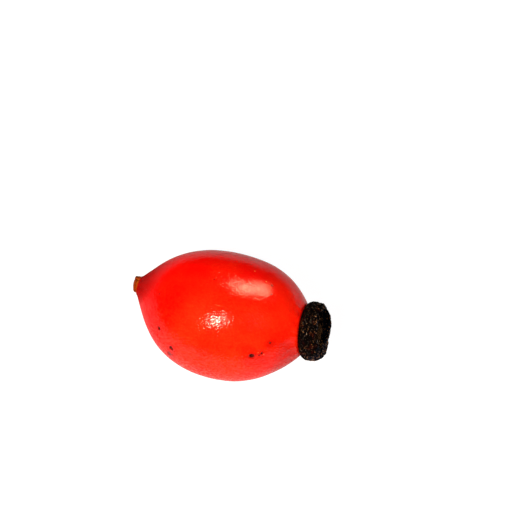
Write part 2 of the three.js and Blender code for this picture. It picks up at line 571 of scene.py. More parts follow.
        # The orange layers are the fruit's own tone with a painted glow; the crimson is its own tone with
        # painted shade; the pale is a scratch, pale dots and painted glints.
        layers = (
            (tone_and_lit_glow, self.orange),
            (grained, self.orange),
            (ends, self.crimson),
            (corky, self.cork),
            (mark["Blue"], self.pale),
            (mark["Green"], self.halo),
            (mark["Red"], self.dried),
        )
        slow = add(
            "ShaderNodeBump", {}, {"Strength": 1.0, "Distance": self.wave_height * MM, "Height": waves}
        ).outputs[0]
        relief = add(
            "ShaderNodeBump",
            {},
            {"Strength": 1.0, "Distance": self.pebble_height * MM, "Height": pebbles, "Normal": slow},
        ).outputs[0]
        flank_wax = add("ShaderNodeMath", TIMES, {0: flank, 1: self.flank_wax}).outputs[0]
        wax = add("ShaderNodeMath", LARGER, {0: wax, 1: flank_wax}).outputs[0]
        wax = add("ShaderNodeMath", TIMES, {0: wax, 1: filmed}).outputs[0]
        return add(
            "ShaderNodeBsdfPrincipled",
            {},
            {
                "Base Color": self.tint(tree, linear(self.scarlet), layers),
                "Roughness": roughness,
                "IOR": 1.45,
                "Specular IOR Level": 0.0,
                "Subsurface Weight": 0.15,
                "Subsurface Radius": (1.0, 0.18, 0.08),
                "Subsurface Scale": self.flesh_depth * MM,
                "Coat Weight": wax,
                "Coat Roughness": 0.12,
                "Coat IOR": 1.5,
                "Normal": relief,
                "Coat Normal": relief,
            },
        ).outputs[0]


@dataclass(frozen=True)
class DryTissue(Finish):
    """Plant tissue that has dried on the fruit: shrunken, creased, brittle and dark.

    Its creases carry painted shade, nearly black, and its lining a painted bluish sheen. Its crests have
    weathered to brown. Resin dried on it leaves a patchy gloss, so small glints sit beside dull places.
    """

    # Painted shade in the creases, and low down in the cup.
    hollow: str = "#05060c"
    body: str = "#060404"
    # A painted bluish sheen on the inside of the cup and on the sepals' lining.
    lining: str = "#0d101a"
    crest: str = "#b0713a"
    tinge: str = "#240604"
    grain: float = 0.24  # mm across a grain of the surface
    grain_height: float = 0.1  # mm
    blotch: float = 0.7  # mm across a reddish blotch
    dullness: float = 0.7  # roughness
    # Changes over the noise that makes the pattern.
    weathered: Fade = Fade(0.6, 0.64)
    reddened: Fade = Fade(0.52, 0.7, 0.0, 0.8)
    resin: Fade = Fade(0.55, 0.62, 0.0, 0.3)

    def dress(self, tree: bpy.types.NodeTree) -> bpy.types.NodeSocket:
        """Builds the dry tissue's nodes and gives its shader.

        Args:
            tree: the material's nodes.

        Returns:
            The output that makes the surface.
        """
        add = partial(add_node, tree)
        point = self.in_mm(tree)
        marks = add("ShaderNodeAttribute", {"attribute_name": DriedFlower.WEAR_AND_SHADE}).outputs["Color"]
        wear = add("ShaderNodeSeparateColor", {}, {"Color": marks}).outputs
        grains, blotches = (
            add(
                "ShaderNodeTexNoise",
                {},
                {"Vector": point, "Scale": 1 / size, "Detail": detail, "Roughness": rough},
            ).outputs["Fac"]
            for size, detail, rough in ((self.grain, 2.0, 0.6), (self.blotch, 3.0, 0.5))
        )
        weathered, reddened, gloss = (
            add("ShaderNodeMapRange", SMOOTH, fade.of(value)).outputs[0]
            for fade, value in ((self.weathered, grains), (self.reddened, blotches), (self.resin, grains))
        )
        browned = add(
            "ShaderNodeMath", {"operation": "MULTIPLY", "use_clamp": True}, {0: weathered, 1: wear["Red"]}
        ).outputs[0]
        # Painted shade in the creases, reddish blotches, the lining's painted bluish sheen, and browned
        # crests.
        layers = (
            (wear["Green"], self.hollow),
            (reddened, self.tinge),
            (wear["Blue"], self.lining),
            (browned, self.crest),
        )
        relief = add(
            "ShaderNodeBump", {}, {"Strength": 1.0, "Distance": self.grain_height * MM, "Height": grains}
        ).outputs[0]
        return add(
            "ShaderNodeBsdfPrincipled",
            {},
            {
                "Base Color": self.tint(tree, linear(self.body), layers),
                "Roughness": self.dullness,
                "IOR": 1.45,
                "Specular IOR Level": 0.0,
                "Coat Weight": gloss,
                "Coat Roughness": 0.06,
                "Coat IOR": 1.5,
                "Normal": relief,
                "Coat Normal": relief,
            },
        ).outputs[0]


@dataclass(frozen=True)
class DryStalk(Finish):
    """The broken end of the stalk: corky, orange-brown outside, with paler pith and dark fibres inside."""

    place: Matrix
    bark: str = "#6c2402"
    edge: str = "#782b03"
    pith: str = "#b07a45"
    fibre: str = "#3b1c0d"
    grain: float = 0.13  # mm across a grain of the surface
    grain_height: float = 0.03  # mm
    raggedness: float = 0.24  # how far the grain pushes the rings about
    ringed: Fade = Fade(0.0, 1.04, -0.12, 0.88)  # over millimetres from the middle out to the bark
    speckled: Fade = Fade(0.58, 0.7, 0.0, 0.7)  # over the noise that makes the grain

    def dress(self, tree: bpy.types.NodeTree) -> bpy.types.NodeSocket:
        """Builds the stalk's nodes and gives its shader.

        Args:
            tree: the material's nodes.

        Returns:
            The output that makes the surface.
        """
        add = partial(add_node, tree)
        point = self.in_mm(tree, self.place)
        flat = add("ShaderNodeVectorMath", TIMES, {0: point, 1: (0, 1, 1)}).outputs["Vector"]
        outwards = add("ShaderNodeVectorMath", {"operation": "LENGTH"}, {0: flat}).outputs["Value"]
        grains = add(
            "ShaderNodeTexNoise",
            {},
            {"Vector": point, "Scale": 1 / self.grain, "Detail": 4.0, "Roughness": 0.7},
        ).outputs["Fac"]
        ringed = add("ShaderNodeMapRange", {}, self.ringed.of(outwards)).outputs[0]
        speckled = add("ShaderNodeMapRange", SMOOTH, self.speckled.of(grains)).outputs[0]
        ragged = add(
            "ShaderNodeMath", {"operation": "MULTIPLY_ADD"}, {0: grains, 1: self.raggedness, 2: ringed}
        ).outputs[0]
        ends = ((0.0, self.pith), (1.0, self.edge))
        between = ((0.4, self.pith), (0.55, self.fibre), (0.72, self.bark))
        rings = add("ShaderNodeValToRGB", {}, {"Fac": ragged}, stops=(*ends, *between)).outputs["Color"]
        relief = add(
            "ShaderNodeBump", {}, {"Strength": 1.0, "Distance": self.grain_height * MM, "Height": grains}
        ).outputs[0]
        return add(
            "ShaderNodeBsdfPrincipled",
            {},
            {
                "Base Color": self.tint(tree, rings, ((speckled, self.fibre),)),
                "Roughness": 0.7,
                "IOR": 1.45,
                "Specular IOR Level": 0.05,
                "Normal": relief,
            },
        ).outputs[0]


@dataclass(frozen=True)
class LightTable(Finish):
    """A light table's white top: it glows evenly, so there is hardly any shadow on it."""

    white: str = "#ffffff"
    top: str = "#6a6a6a"
    glow: float = 0.96

    def dress(self, tree: bpy.types.NodeTree) -> bpy.types.NodeSocket:
        """Builds the table top's nodes and gives its shader.

        Args:
            tree: the material's nodes.

        Returns:
            The output that makes the surface.
        """
        settings = {
            "Base Color": linear(self.top),
            "Roughness": 0.9,
            "Specular IOR Level": 0.0,
            "Emission Color": linear(self.white),
            "Emission Strength": self.glow,
        }
        return add_node(tree, "ShaderNodeBsdfPrincipled", {}, settings).outputs[0]


# ---- The fruit ----


class MarkKind(Enum):
    """What a blemish on the skin is. The values are its depth as a share of its size, and how strongly
    its middle is dried, its surround is dulled, and its middle is pale."""

    PIT = (0.3, 0.95, 0.9, 0.0)
    SPECK = (0.1, 0.7, 0.5, 0.0)
    BRUISE = (0.03, 0.5, 0.8, 0.0)
    SHADE = (0.01, 0.0, 0.55, 0.0)
    # Pale raised dots; those beside the pits are painted glints.
    PALE = (-0.05, 0.0, 0.0, 0.6)
    SCRATCH = (0.01, 0.0, 0.0, 0.14)


@dataclass(frozen=True)
class Mark:
    """One blemish: its kind, where it is along and around the fruit, and its size."""

    kind: MarkKind
    along: float  # mm from the stalk
    around: float  # degrees, from +Y towards +Z
    size: float  # mm across
    stretch: float = 1.0  # how much longer it is along the fruit than around it


@dataclass
class Fruit:
    """The fleshy hip, and the scrap of stalk on its neck."""

    MARKS = "marks"

    raised: float = math.radians(3)
    radius: float = 8.7
    fullest_at: float = 13.15
    end: float = 24.85
    end_radius: float = 2.2
    neck_radius: float = 1.08
    neck_flare: float = 1.55
    neck_length: float = 0.6
    overrun: float = 0.3
    belly_handle: tuple[float, float] = (3.2, 4.9)  # what the outline leaves the neck towards
    belly_fullness: float = 7.5
    nose_fullness: float = 4.3
    nose_handle: tuple[float, float] = (3.5, 7.6)  # what it comes in to the flower from
    ridge_height: float = 0.007  # as a share of the radius
    ridges: int = 5
    ridge_turn: float = math.radians(28)
    oval_height: float = 0.004  # as a share of the radius
    gathers: int = 11  # small folds at the stalk
    gather_height: float = 0.045
    puckers: int = 17  # small folds at the flower
    pucker_height: float = 0.06
    bow_height: float = 0.88
    bow_early: float = 0.74
    lean_from: float = 20.8
    lean_slope: float = 0.03
    resting_depth: float = 0.15
    softness: float = 0.05  # how gently the flattened patch rounds into the skin
    stalk_radius: float = 1.04
    stalk_length: float = 0.45
    stalk_turned: float = math.radians(10)
    seam: float = 0.05
    along_steps: int = 176
    around_steps: int = 248
    marks: tuple[Mark, ...] = (
        Mark(MarkKind.PIT, 6.0, 148, 0.55),
        Mark(MarkKind.SPECK, 6.15, 156, 0.2),
        Mark(MarkKind.PIT, 8.25, 162, 0.7),
        Mark(MarkKind.BRUISE, 8.0, 173, 1.1, 0.7),
        Mark(MarkKind.SPECK, 8.5, 171, 0.26, 1.4),
        Mark(MarkKind.SPECK, 7.7, 178, 0.22),
        Mark(MarkKind.PIT, 12.25, -170, 0.3),
        Mark(MarkKind.PIT, 19.2, 148, 0.78),
        Mark(MarkKind.SHADE, 19.6, 152, 1.5, 1.6),
        Mark(MarkKind.SHADE, 18.6, 141, 0.9, 1.5),
        Mark(MarkKind.PIT, 20.35, 145, 0.34),
        Mark(MarkKind.PIT, 20.1, 147.5, 0.28),
        # Painted glints: pale dots beside the pits.
        Mark(MarkKind.PALE, 20.6, 147, 0.2),
        Mark(MarkKind.PALE, 19.9, 144, 0.16),
        Mark(MarkKind.PIT, 21.05, 132, 0.3),
        Mark(MarkKind.SHADE, 21.0, 133.5, 0.7, 1.3),
        Mark(MarkKind.SPECK, 6.95, 135, 0.16),
        Mark(MarkKind.SPECK, 16.45, 139, 0.18),
        Mark(MarkKind.SPECK, 4.8, 110, 0.24),
        Mark(MarkKind.SPECK, 11.75, 82, 0.22),
        Mark(MarkKind.SPECK, 15.25, 80, 0.2),
        Mark(MarkKind.SPECK, 16.45, 76, 0.22),
        Mark(MarkKind.SPECK, 19.0, 67, 0.24),
        Mark(MarkKind.SPECK, 19.4, 78, 0.18),
        Mark(MarkKind.PALE, 16.2, 59, 0.2),
        Mark(MarkKind.PALE, 18.15, 66, 0.22),
        Mark(MarkKind.SCRATCH, 13.4, 105, 0.13, 6.5),
    )
    hidden_marks: int = 26  # blemishes scattered over the sides that those leave bare
    hidden_around: tuple[float, float] = (-165, 50)  # degrees
    hidden_along: tuple[float, float] = (3, 22)  # mm
    resting_arc: tuple[float, float] = (-112, -68)  # degrees: the patch that it rests on stays clean
    seed: int = 7

    def outline(self) -> list[tuple[float, float]]:
        """The side outline as places along the fruit, each with its radius, from axis to axis.

        Returns:
            The places, in millimetres from the stalk, each with its radius.
        """
        tail = curve(
            (
                (-self.overrun, self.neck_radius),
                (-self.overrun / 2, self.neck_radius),
                (self.neck_length * 0.35, self.neck_radius),
                (self.neck_length, self.neck_flare),
            ),
            12,
        )
        belly = curve(
            (
                (self.neck_length, self.neck_flare),
                self.belly_handle,
                (self.fullest_at - self.belly_fullness, self.radius),
                (self.fullest_at, self.radius),
            ),
            self.along_steps // 2,
        )
        nose = curve(
            (
                (self.fullest_at, self.radius),
                (self.fullest_at + self.nose_fullness, self.radius),
                (self.end - self.nose_handle[0], self.nose_handle[1]),
                (self.end, self.end_radius),
            ),
            self.along_steps // 2,
        )
        return [(-self.overrun, 0.0), *join(tail, belly, nose), (self.end, 0.0)]

    def swell(self, place: Vector) -> float:
        """How many millimetres the skin stands out from the plain turned shape at a place.

        Args:
            place: a point on the plain shape, in the hip's frame.

        Returns:
            The height outwards.
        """
        angle = math.atan2(place.z, place.y)
        radius = math.hypot(place.y, place.z)
        turned = self.ridges * (angle - self.ridge_turn)
        ridges = self.ridge_height * rise(place.x, 0, self.end) * math.cos(turned)
        oval = self.oval_height * math.cos(2 * angle + 0.7)
        slow = 0.075 * noise.noise(place / 6.5 + Vector((3.1, 0, 0))) + 0.028 * noise.noise(place / 2.4)
        wander = noise.noise(place / 1.6) * 2.2
        near_stalk = 1 - rise(place.x, 0.5, 3.4)
        gathers = self.gather_height * near_stalk * math.cos(self.gathers * angle + wander)
        near_flower = rise(place.x, 21.4, 24.1)
        puckers = self.pucker_height * near_flower * math.cos(self.puckers * angle + 1.4 * wander)
        return radius * (ridges + oval) + slow * rise(radius, 1, 5) + gathers + puckers

    def bend(self, place: Vector) -> Vector:
        """Bows the middle line to one side and leans the flower end over to the other.

        Args:
            place: a point on the straight fruit.

        Returns:
            Where the point goes.
        """
        share = min(max(place.x / self.end, 0.0), 1.0)
        bowed = place.copy()
        bowed.x -= self.lean_slope * place.y * rise(place.x, self.lean_from, self.end)
        bowed.y -= self.bow_height * math.sin(math.pi * share**self.bow_early)
        return bowed

    def on_skin(self, mark: Mark) -> Vector:
        """Where a blemish's middle is, in the hip's frame.

        Args:
            mark: the blemish.

        Returns:
            Its middle.
        """
        outline = self.outline()
        near = min(outline, key=lambda spot: abs(spot[0] - mark.along))
        angle = math.radians(mark.around)
        place = spoke(mark.along, near[1], angle)
        out = spoke(0, 1, angle)
        return self.bend(place + out * self.swell(place))

    def all_marks(self) -> list[Mark]:
        """The blemishes that are listed, and those that are scattered over the other sides.

        Returns:
            The blemishes.
        """
        draw = random.Random(self.seed)
        scattered = []
        while len(scattered) < self.hidden_marks:
            around = draw.uniform(*self.hidden_around)
            along = draw.uniform(*self.hidden_along)
            kind = MarkKind.PIT if len(scattered) % 6 == 0 else MarkKind.SPECK
            size = draw.uniform(0.3, 0.5) if kind is MarkKind.PIT else draw.uniform(0.14, 0.24)
            if not self.resting_arc[0] < around < self.resting_arc[1]:
                scattered.append(Mark(kind, along, around, size))
        return [*self.marks, *scattered]

    def refine(self, bm: bmesh.types.BMesh, middles: Sequence[tuple[Mark, Vector]]) -> None:
        """Splits the mesh finely where blemishes are.

        Args:
            bm: the fruit's mesh.
            middles: each blemish with its middle.
        """
        tree = vertex_tree(bm)
        near = set()
        for mark, middle in middles:
            reach = 0.16 + mark.size * max(mark.stretch, 1) * 0.85
            near.update(bm.verts[index] for _, index, _ in tree.find_range(middle, reach))
        edges = [edge for edge in bm.edges if edge.verts[0] in near and edge.verts[1] in near]
        bmesh.ops.subdivide_edges(bm, edges=edges, cuts=3, use_grid_fill=True)

    def blemish(self, bm: bmesh.types.BMesh) -> None:
        """Sinks each blemish into the skin and stores how dried, dulled and pale the skin is.

        Args:
            bm: the fruit's mesh, bent to its shape.
        """
        middles = [(mark, self.on_skin(mark)) for mark in self.all_marks()]
        self.refine(bm, middles)
        bm.normal_update()
        paint(bm, self.MARKS, lambda _: (0, 0, 0))
        layer = bm.verts.layers.float_color[self.MARKS]
        tree = vertex_tree(bm)
        sunk = {}
        for mark, middle in middles:
            depth, dried, dulled, pale = mark.kind.value
            half = mark.size / 2
            for _, index, _ in tree.find_range(middle, half * max(mark.stretch, 1) * 3.4):
                vert = bm.verts[index]
                offset = vert.co - middle
                offset.x /= mark.stretch
                ragged = 1 + 0.3 * noise.noise(vert.co / (0.55 * mark.size) + Vector((mark.along, 0, 0)))
                far = offset.length / half * ragged
                dip = -depth * mark.size * (1 - rise(far, 0.1, 1.15))
                lip = 0.09 * abs(depth) * mark.size * math.exp(-((far - 1.35) ** 2) / 0.12)
                sunk[vert] = sunk.get(vert, Vector()) + vert.normal * (dip + lip)
                now = vert[layer]
                core = 1 - rise(far, 0.55, 1.1)
                around = 1 - rise(far, 0.9, 2.9)
                vert[layer] = (
                    max(now[0], dried * core),
                    max(now[1], dulled * around),
                    max(now[2], pale * core),
                    1.0,
                )
        for vert, move in sunk.items():
            vert.co += move

    def trim(self, bm: bmesh.types.BMesh, through: Vector, outwards: Vector) -> None:
        """Cuts the mesh flat and closes the cut.

        Args:
            bm: the mesh.
            through: a point on the cut.
            outwards: the direction in which everything past the cut goes.
        """
        everything = [*bm.verts, *bm.edges, *bm.faces]
        bmesh.ops.bisect_plane(
            bm, geom=everything, dist=SAME_SPOT, plane_co=through, plane_no=outwards, clear_outer=True
        )
        open_edges = [edge for edge in bm.edges if edge.is_boundary]
        made = bmesh.ops.holes_fill(bm, edges=open_edges, sides=0)
        bmesh.ops.triangulate(bm, faces=made["faces"])

    def make_flesh(self, flower: Matrix) -> bmesh.types.BMesh:
        """Makes the fleshy hip in its own frame, not yet flattened where it rests.

        Args:
            flower: takes the flower's frame to the hip's.

        Returns:
            The mesh.
        """
        bm = bmesh.new()
        turn_solid(bm, self.outline(), self.around_steps)
        for vert in bm.verts:
            place = vert.co.copy()
            out = Vector((0, place.y, place.z))
            if out.length > 1e-6:
                place += out.normalized() * self.swell(place)
            vert.co = self.bend(place)
        self.blemish(bm)
        turned = self.stalk_frame()
        self.trim(bm, turned.to_translation(), turned.to_3x3() @ Vector((-1, 0, 0)))
        self.trim(bm, flower.to_translation(), flower.to_3x3() @ Vector((1, 0, 0)))
        return bm

    def rest(self, bm: bmesh.types.BMesh) -> float:
        """Flattens the skin where the fruit rests, and says how high the floor is.

        Args:
            bm: the fleshy hip, in its own frame.

        Returns:
            The floor's place along the direction that is up once the hip lies down.
        """
        up = Vector((math.sin(self.raised), 0, math.cos(self.raised)))
        floor = min(vert.co.dot(up) for vert in bm.verts) + self.resting_depth
        for vert in bm.verts:
            height = vert.co.dot(up) - floor
            if height < 4 * self.softness:
                eased = (height + math.hypot(height, self.softness)) / 2
                vert.co += up * (eased - height)
        return floor

    def stalk_frame(self) -> Matrix:
        """Takes the stalk scrap's frame to the hip's."""
        return Matrix.Rotation(self.stalk_turned, 4, "Z")

    def make_stalk(self) -> bmesh.types.BMesh:
        """Makes the stalk scrap in its own frame: a thin, dished, fibrous disc with a swollen rim.

        Returns:
            The mesh.
        """
        radius, length = self.stalk_radius, self.stalk_length
        brim = (-length * 0.9, radius * 0.98)
        inner, high = (-length * 0.62, radius * 0.45), (-length * 0.9, radius * 0.62)
        rim = curve((inner, high, (-length * 1.12, radius * 0.8), brim), 16)
        swollen = ((-length * 0.72, radius * 1.12), (-length * 0.4, radius * 1.05))
        flank = curve((brim, *swollen, (-self.seam, radius)), 10)
        dish = [(-length * 0.55, radius * share) for share in (0.0, 0.1, 0.2, 0.3)]
        bm = bmesh.new()
        seat = ((-self.seam, radius * 0.5), (-self.seam, 0.0))
        turn_solid(bm, [*dish, *join(rim, flank), *seat], 96)
        for vert in bm.verts:
            out = Vector((0, vert.co.y, vert.co.z))
            share = out.length / radius
            angle = math.atan2(out.z, out.y)
            if share > 0.05:
                facing = rise(-vert.co.x, self.seam, length * 0.5)
                bundles = max(0.0, math.cos(9 * angle)) ** 3 * math.exp(-((share - 0.55) ** 2) / 0.012)
                fibres = noise.noise(Vector((share * 2.5, math.cos(angle) * 7, math.sin(angle) * 7)))
                notch = math.exp(-((angle - math.radians(65)) ** 2) / 0.04) * rise(share, 0.55, 0.95)
                vert.co.x += facing * (-0.07 * bundles + 0.05 * fibres + 0.22 * notch)
                outer = 0.05 * fibres * rise(share, 0.6, 0.95)
                vert.co += out.normalized() * (outer - 0.1 * notch * facing)
        return bm

    def build(self, flower: Matrix) -> tuple[Matrix, list[bpy.types.Object]]:
        """Makes the fruit and its stalk scrap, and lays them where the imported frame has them.

        Args:
            flower: takes the flower's frame to the hip's.

        Returns:
            What takes the hip's frame to the row's, and the pieces.
        """
        flesh = self.make_flesh(flower)
        floor = self.rest(flesh)
        turned = Matrix.Rotation(-self.raised, 4, "Y")
        low = Vector([min((turned @ vert.co)[axis] for vert in flesh.verts) for axis in range(3)])
        packed_low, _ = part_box("flesh")
        shift = Vector((packed_low.x / MM - low.x, packed_low.y / MM - low.y, -floor))
        place = Matrix.Scale(MM, 4) @ Matrix.Translation(shift) @ turned
        skin = RipeSkin("ripe rose hip skin", place)
        bark = DryStalk("broken rose stalk", place @ self.stalk_frame())
        return place, [
            make_piece(flesh, "fleshy_hip", ["flesh"], skin, place),
            make_piece(
                self.make_stalk(), "stalk_end", ["stalk_scrap"], bark, place @ self.stalk_frame()
            ),
        ]


# ---- The dried flower ----


@dataclass
class DriedFlower:
    """The dead flower on the fruit's end: its cup, five sepal stubs, stamens and styles."""

    # Red: wear on crests. Green: painted shade. Blue: the lining's painted bluish sheen.
    WEAR_AND_SHADE = "wear"

    seat: tuple[float, float, float] = (24.1, 0.45, 0.1)
    turned: float = math.radians(6)
    tipped: float = math.radians(9)
    radius: float = 3.87
    cup_floor: float = 0.75
    rim: float = 1.4
    seam: float = 0.05
    sepal_start: float = math.radians(28)
    sepal_half_width: float = math.radians(38)
    sepal_thickness: float = 0.26
    sepal_rounding: int = 1  # how many times the mesh is split and smoothed
    sepal_reaches: tuple[float, ...] = (0.64, 0.74, 0.92, 0.94, 0.68)
    sepal_layers: tuple[float, ...] = (0.07, -0.06, 0.07, -0.06, 0.0)  # mm that each lies over the next
    sepal_lifts: tuple[float, ...] = (0.0, -0.1, 0.0, 0.25, 0.25)  # mm that each stands up beyond the fold
    sepal_browning: tuple[float, ...] = (1.0, 0.9, 0.6, 0.7, 1.0)
    stamens: int = 72
    stamen_circle: float = 1.95
    styles: int = 46
    style_circle: float = 0.85
    style_turn: float = math.radians(137.5)  # from each to the next, so that they fill a disc evenly
    style_parts: int = 4  # straight parts in one style
    stamen_parts: int = 6  # straight parts in one filament
    thread_sides: int = 6
    anther_share: float = 0.45  # of the filaments that still have one
    stamen_seed: int = 11
    style_seed: int = 23
    cup_steps: int = 280

    def frame(self) -> Matrix:
        """Takes the flower's frame to the hip's."""
        turn = Matrix.Rotation(self.turned, 4, "Z") @ Matrix.Rotation(-self.tipped, 4, "Y")
        return Matrix.Translation(self.seat) @ turn

    @staticmethod
    def crumple(place: Vector, size: float) -> float:
        """How far dried tissue stands out at a place: sharp crests between rounded hollows.

        Args:
            place: a point, in millimetres.
            size: how far apart the crests are.

        Returns:
            From about -1 in a hollow to 1 on a crest.
        """
        first = 1 - 2.6 * abs(noise.noise(place / size))
        second = 1 - 2.6 * abs(noise.noise(place / (size * 0.45) + Vector((7.3, 1.1, 4.2))))
        return 0.65 * first + 0.35 * second

    def shrivel(self, place: Vector) -> tuple[float, float]:
        """The folds that the whole dried flower shares, so that they run on from the cup to the sepals.

        Args:
            place: a point in the flower's frame.

        Returns:
            How many millimetres the surface stands out, and how much of a crest it is, from -1 to 1.
        """
        stretched = Vector((place.x * 0.55, place.y, place.z))
        crest = self.crumple(stretched, 0.75)
        fine = self.crumple(place, 0.3)
        broad = noise.noise(stretched / 1.9)
        return 0.14 * crest + 0.075 * fine + 0.1 * broad, 0.6 * crest + 0.4 * fine

    def make_cup(self) -> bmesh.types.BMesh:
        """Makes the cup, with its wall shrunk into folds that run up from the fruit.

        Returns:
            The mesh.
        """
        radius, rim = self.radius, self.rim
        floor = self.cup_floor
        foot = (self.seam, radius * 0.9)
        top = (rim * 0.92, radius)
        inner = (rim * 0.94, radius * 0.85)
        wall = curve((foot, (0.1, radius), (rim * 0.5, radius * 1.02), top), 26)
        lip = curve((top, (rim * 1.04, radius * 0.99), (rim * 1.04, radius * 0.9), inner), 12)
        bowl = curve((inner, (floor, radius * 0.76), (floor, radius * 0.66), (floor, radius * 0.5)), 12)
        base = ((self.seam, 0.0), (self.seam, radius * 0.5))
        bed = ((floor, radius * 0.2), (floor, 0.0))
        bm = bmesh.new()
        turn_solid(bm, [*base, *join(wall, lip, bowl), *bed], self.cup_steps)
        layer = bm.verts.layers.float_color.new(self.WEAR_AND_SHADE)
        for vert in bm.verts:
            out = Vector((0, vert.co.y, vert.co.z))
            outer = rise(out.length, radius * 0.5, radius * 0.85)
            high = rise(vert.co.x, self.seam, 0.5)
            height, crest = self.shrivel(vert.co)
            inside = 1 - rise(out.length, radius * 0.76, radius * 0.84)
            # Red: browned crests. Green: painted shade in the creases. Blue: the inside of the cup, painted
            # with a bluish sheen.
            vert[layer] = (rise(crest, 0.35, 0.9) * outer * 0.4, 1 - rise(crest, -0.6, 0.3), inside, 1)
            if out.length > 1e-6:
                vert.co += out.normalized() * outer * high * (height - 0.04)
                vert.co.x += 0.3 * outer * high * height
        return bm

    def make_sepal(self, index: int) -> bmesh.types.BMesh:
        """Makes one sepal stub: a leathery strip that stands on the rim and folds in over the cup.

        Args:
            index: which of the five it is.

        Returns:
            The mesh.
        """
        reach = self.sepal_reaches[index]
        radius = self.radius
        fold_from = (radius * 0.99, 1.5)
        root = curve(((radius * 0.9, 0.5), (radius * 0.98, 0.85), (radius * 1.01, 1.15), fold_from), 16)
        hood = curve((fold_from, (radius * 0.98, 2.45), (radius * 0.86, 2.85), (1.45, 2.2)), 56)
        fold = [*root, *hood[1:]]
        middle = self.sepal_start + index * math.tau / len(self.sepal_reaches)
        bm = bmesh.new()
        bmesh.ops.create_grid(bm, x_segments=40, y_segments=40, size=1)
        layer = bm.verts.layers.float_color.new(self.WEAR_AND_SHADE)
        for vert in bm.verts:
            u, v = vert.co.x, (vert.co.y + 1) / 2
            seed = Vector((u * 1.7, v * 2.6, index * 5.7))
            torn = 0.12 * noise.noise(Vector((u * 4.5, 0.5, index * 3.1))) - 0.06 * u * u
            share = v * (reach + torn * v)
            place, along = bank(fold, share)
            angle = middle + u * self.sepal_half_width * (1 - 0.14 * v**3) + 0.04 * noise.noise(seed)
            lift = self.sepal_lifts[index] * rise(share, 0.2, 0.5)
            spot = spoke(place.y + lift, place.x, angle)
            height, crest = self.shrivel(spot)
            rib = math.exp(-((u / 0.13) ** 2)) * (1 - 0.5 * v)
            tuck = -0.12 * abs(u) ** 3 - 0.1 * rise(v, 0.6, 1) + self.sepal_layers[index]
            out = spoke(-along.x, along.y, angle)
            vert.co = spot + out * (height - 0.06 + 0.05 * rib + tuck)
            bend = math.exp(-((share - 0.5) ** 2) / 0.02)
            worn = max(rise(crest, 0.2, 0.9) * (0.15 + 0.85 * bend), rise(v, 0.9, 1.0) * 0.8)
            # Red: wear on the crests, the fold and the tip. Green: painted shade in the creases.
            vert[layer] = (worn * self.sepal_browning[index], 1 - rise(crest, -0.6, 0.3), 0, 1)
        made = bmesh.ops.solidify(bm, geom=bm.faces[:], thickness=self.sepal_thickness)["geom"]
        new = {item for item in made if isinstance(item, bmesh.types.BMVert)}
        sides = (new, set(bm.verts) - new)
        lining = min(
            sides, key=lambda side: sum(v.co.x + math.hypot(v.co.y, v.co.z) for v in side) / len(side)
        )
        # The lining gets the painted bluish sheen, with some brown wear.
        for vert in lining:
            red, green, _, alpha = vert[layer]
            vert[layer] = (max(red, 0.55), green, 1.0, alpha)
        return bm

    def make_stamens(self) -> bmesh.types.BMesh:
        """Makes the withered stamens: thin, bent filaments in a ring, some with a shrunken anther.

        Returns:
            The mesh.
        """
        draw = random.Random(self.stamen_seed)
        bm = bmesh.new()
        for index in range(self.stamens):
            angle = (index + draw.uniform(-0.35, 0.35)) * math.tau / self.stamens
            start = self.stamen_circle + draw.uniform(-0.42, 0.42)
            low_side = rise(math.cos(angle - math.radians(212)), 0.55, 0.9)
            height = draw.uniform(0.75, 1.35) + low_side * draw.uniform(0.1, 0.75)
            inward = draw.uniform(-0.35, 0.85) - low_side * 0.45
            sway = draw.uniform(-0.35, 0.35)
            path = []
            for step in range(self.stamen_parts + 1):
                share = step / self.stamen_parts
                radius = start - inward * share**1.8
                at = angle + sway * share**1.5 + 0.08 * math.sin(5 * share + index)
                above = self.cup_floor - 0.06 + height * math.sin(share * 1.9) / math.sin(1.57)
                path.append(spoke(above, radius, at))
            thick = draw.uniform(0.05, 0.075)
            radii = [thick * (1 - 0.45 * step / self.stamen_parts) for step in range(len(path))]
            draw_tube(bm, path, radii, self.thread_sides)
            if draw.random() < self.anther_share:
                size = draw.uniform(0.1, 0.15)
                made = bmesh.ops.create_icosphere(bm, subdivisions=1, radius=size)["verts"]
                spin = Matrix.Rotation(draw.uniform(0, math.pi), 3, "X")
                for vert in made:
                    vert.co = spin @ Vector((vert.co.x * 0.7, vert.co.y * 1.35, vert.co.z * 0.7)) + path[-1]
        # Red: browner towards the tips. Green: painted shade low down in the cup.
        paint(bm, self.WEAR_AND_SHADE, lambda vert: (rise(vert.co.x, 1.1, 2.0), 1 - rise(vert.co.x, 0.7, 1.3), 0))
        return bm

    def make_styles(self) -> bmesh.types.BMesh:
        """Makes the knob of dried styles: a lumpy cushion bristling with short, matted style ends.

        Returns:
            The mesh.
        """
        draw = random.Random(self.style_seed)
        bm = bmesh.new()
        bmesh.ops.create_icosphere(bm, subdivisions=4, radius=1)
        for vert in bm.verts:
            lumpy = 1 + 0.12 * self.crumple(vert.co * 1.3, 0.5)
            x, y, z = vert.co
            vert.co = Vector((x * 0.62 * lumpy + 1.1, y * 0.92 * lumpy, z * 0.92 * lumpy))
        for index in range(self.styles):
            turn = index * self.style_turn
            start = self.style_circle * math.sqrt((index + 0.5) / self.styles)
            path = []
            for step in range(self.style_parts + 1):
                share = step / self.style_parts
                radius = start * (1 + 0.25 * share) + 0.1 * share * math.sin(3 * share + index)
                at = turn + 0.5 * share * math.sin(index * 1.7)
                above = 1.25 + (1.0 - 0.25 * start) * share
                path.append(spoke(above, radius, at))
            thick = draw.uniform(0.05, 0.08)
            radii = [thick * (1 + 0.35 * step / self.style_parts) for step in range(len(path))]
            draw_tube(bm, path, radii, self.thread_sides)
